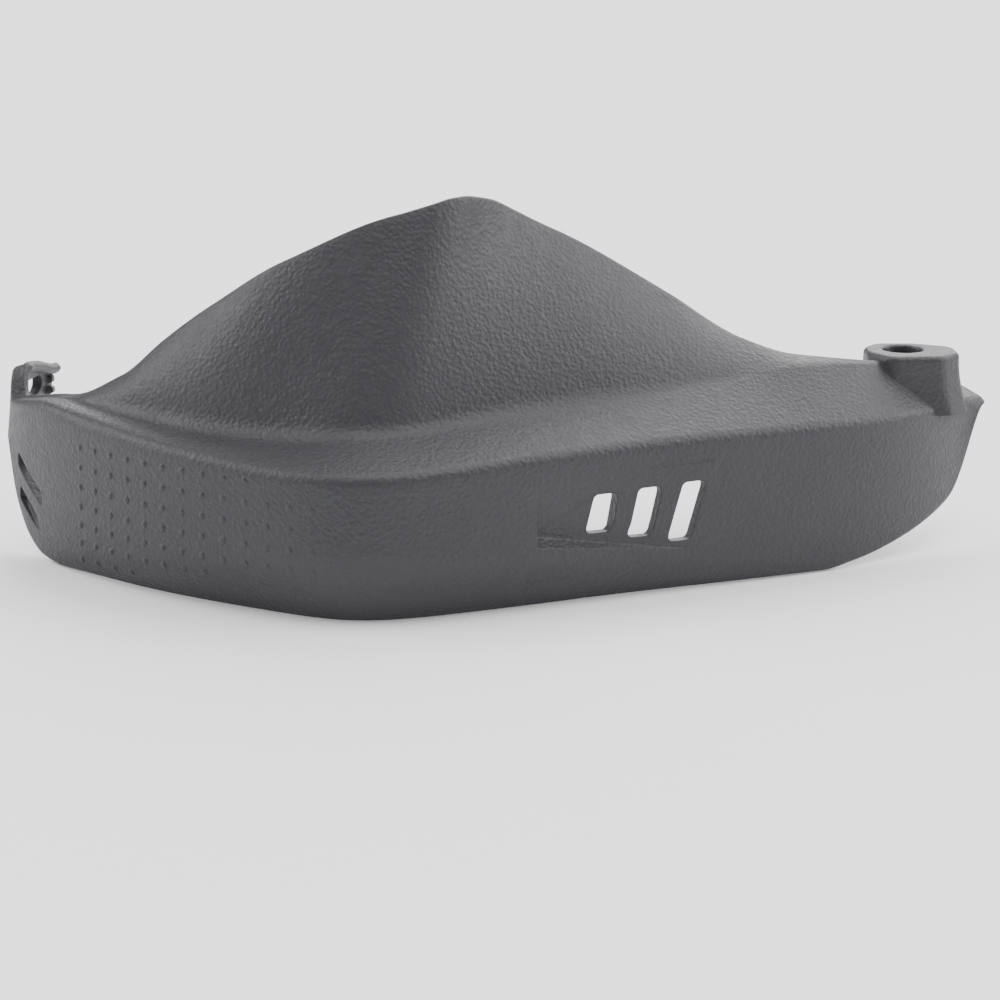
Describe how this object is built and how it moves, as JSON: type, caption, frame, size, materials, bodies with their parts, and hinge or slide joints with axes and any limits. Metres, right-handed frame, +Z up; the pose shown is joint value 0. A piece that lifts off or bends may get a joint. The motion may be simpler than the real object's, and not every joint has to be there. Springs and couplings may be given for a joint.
{
  "type": "motorcycle hand guard",
  "caption": "Moulded plastic hand guard: a deep band wraps the front, a sloping shoulder carries a tall leaning wind shield, with a bored inner boss and a slotted bar-end lug.",
  "frame": {"origin": "centre of the inner mount hole at the top face of its boss", "axes": "+X along the guard from the bar-end lug towards the inner end, +Y back towards the rider, +Z up along the inner mount hole"},
  "size_m": [0.3049, 0.1279, 0.112],
  "materials": {
    "moulded_plastic": "fine mould grain, unpainted dark grey"
  },
  "bodies": {
    "root": {"shell": "moulded_plastic"}
  },
  "joints": []
}
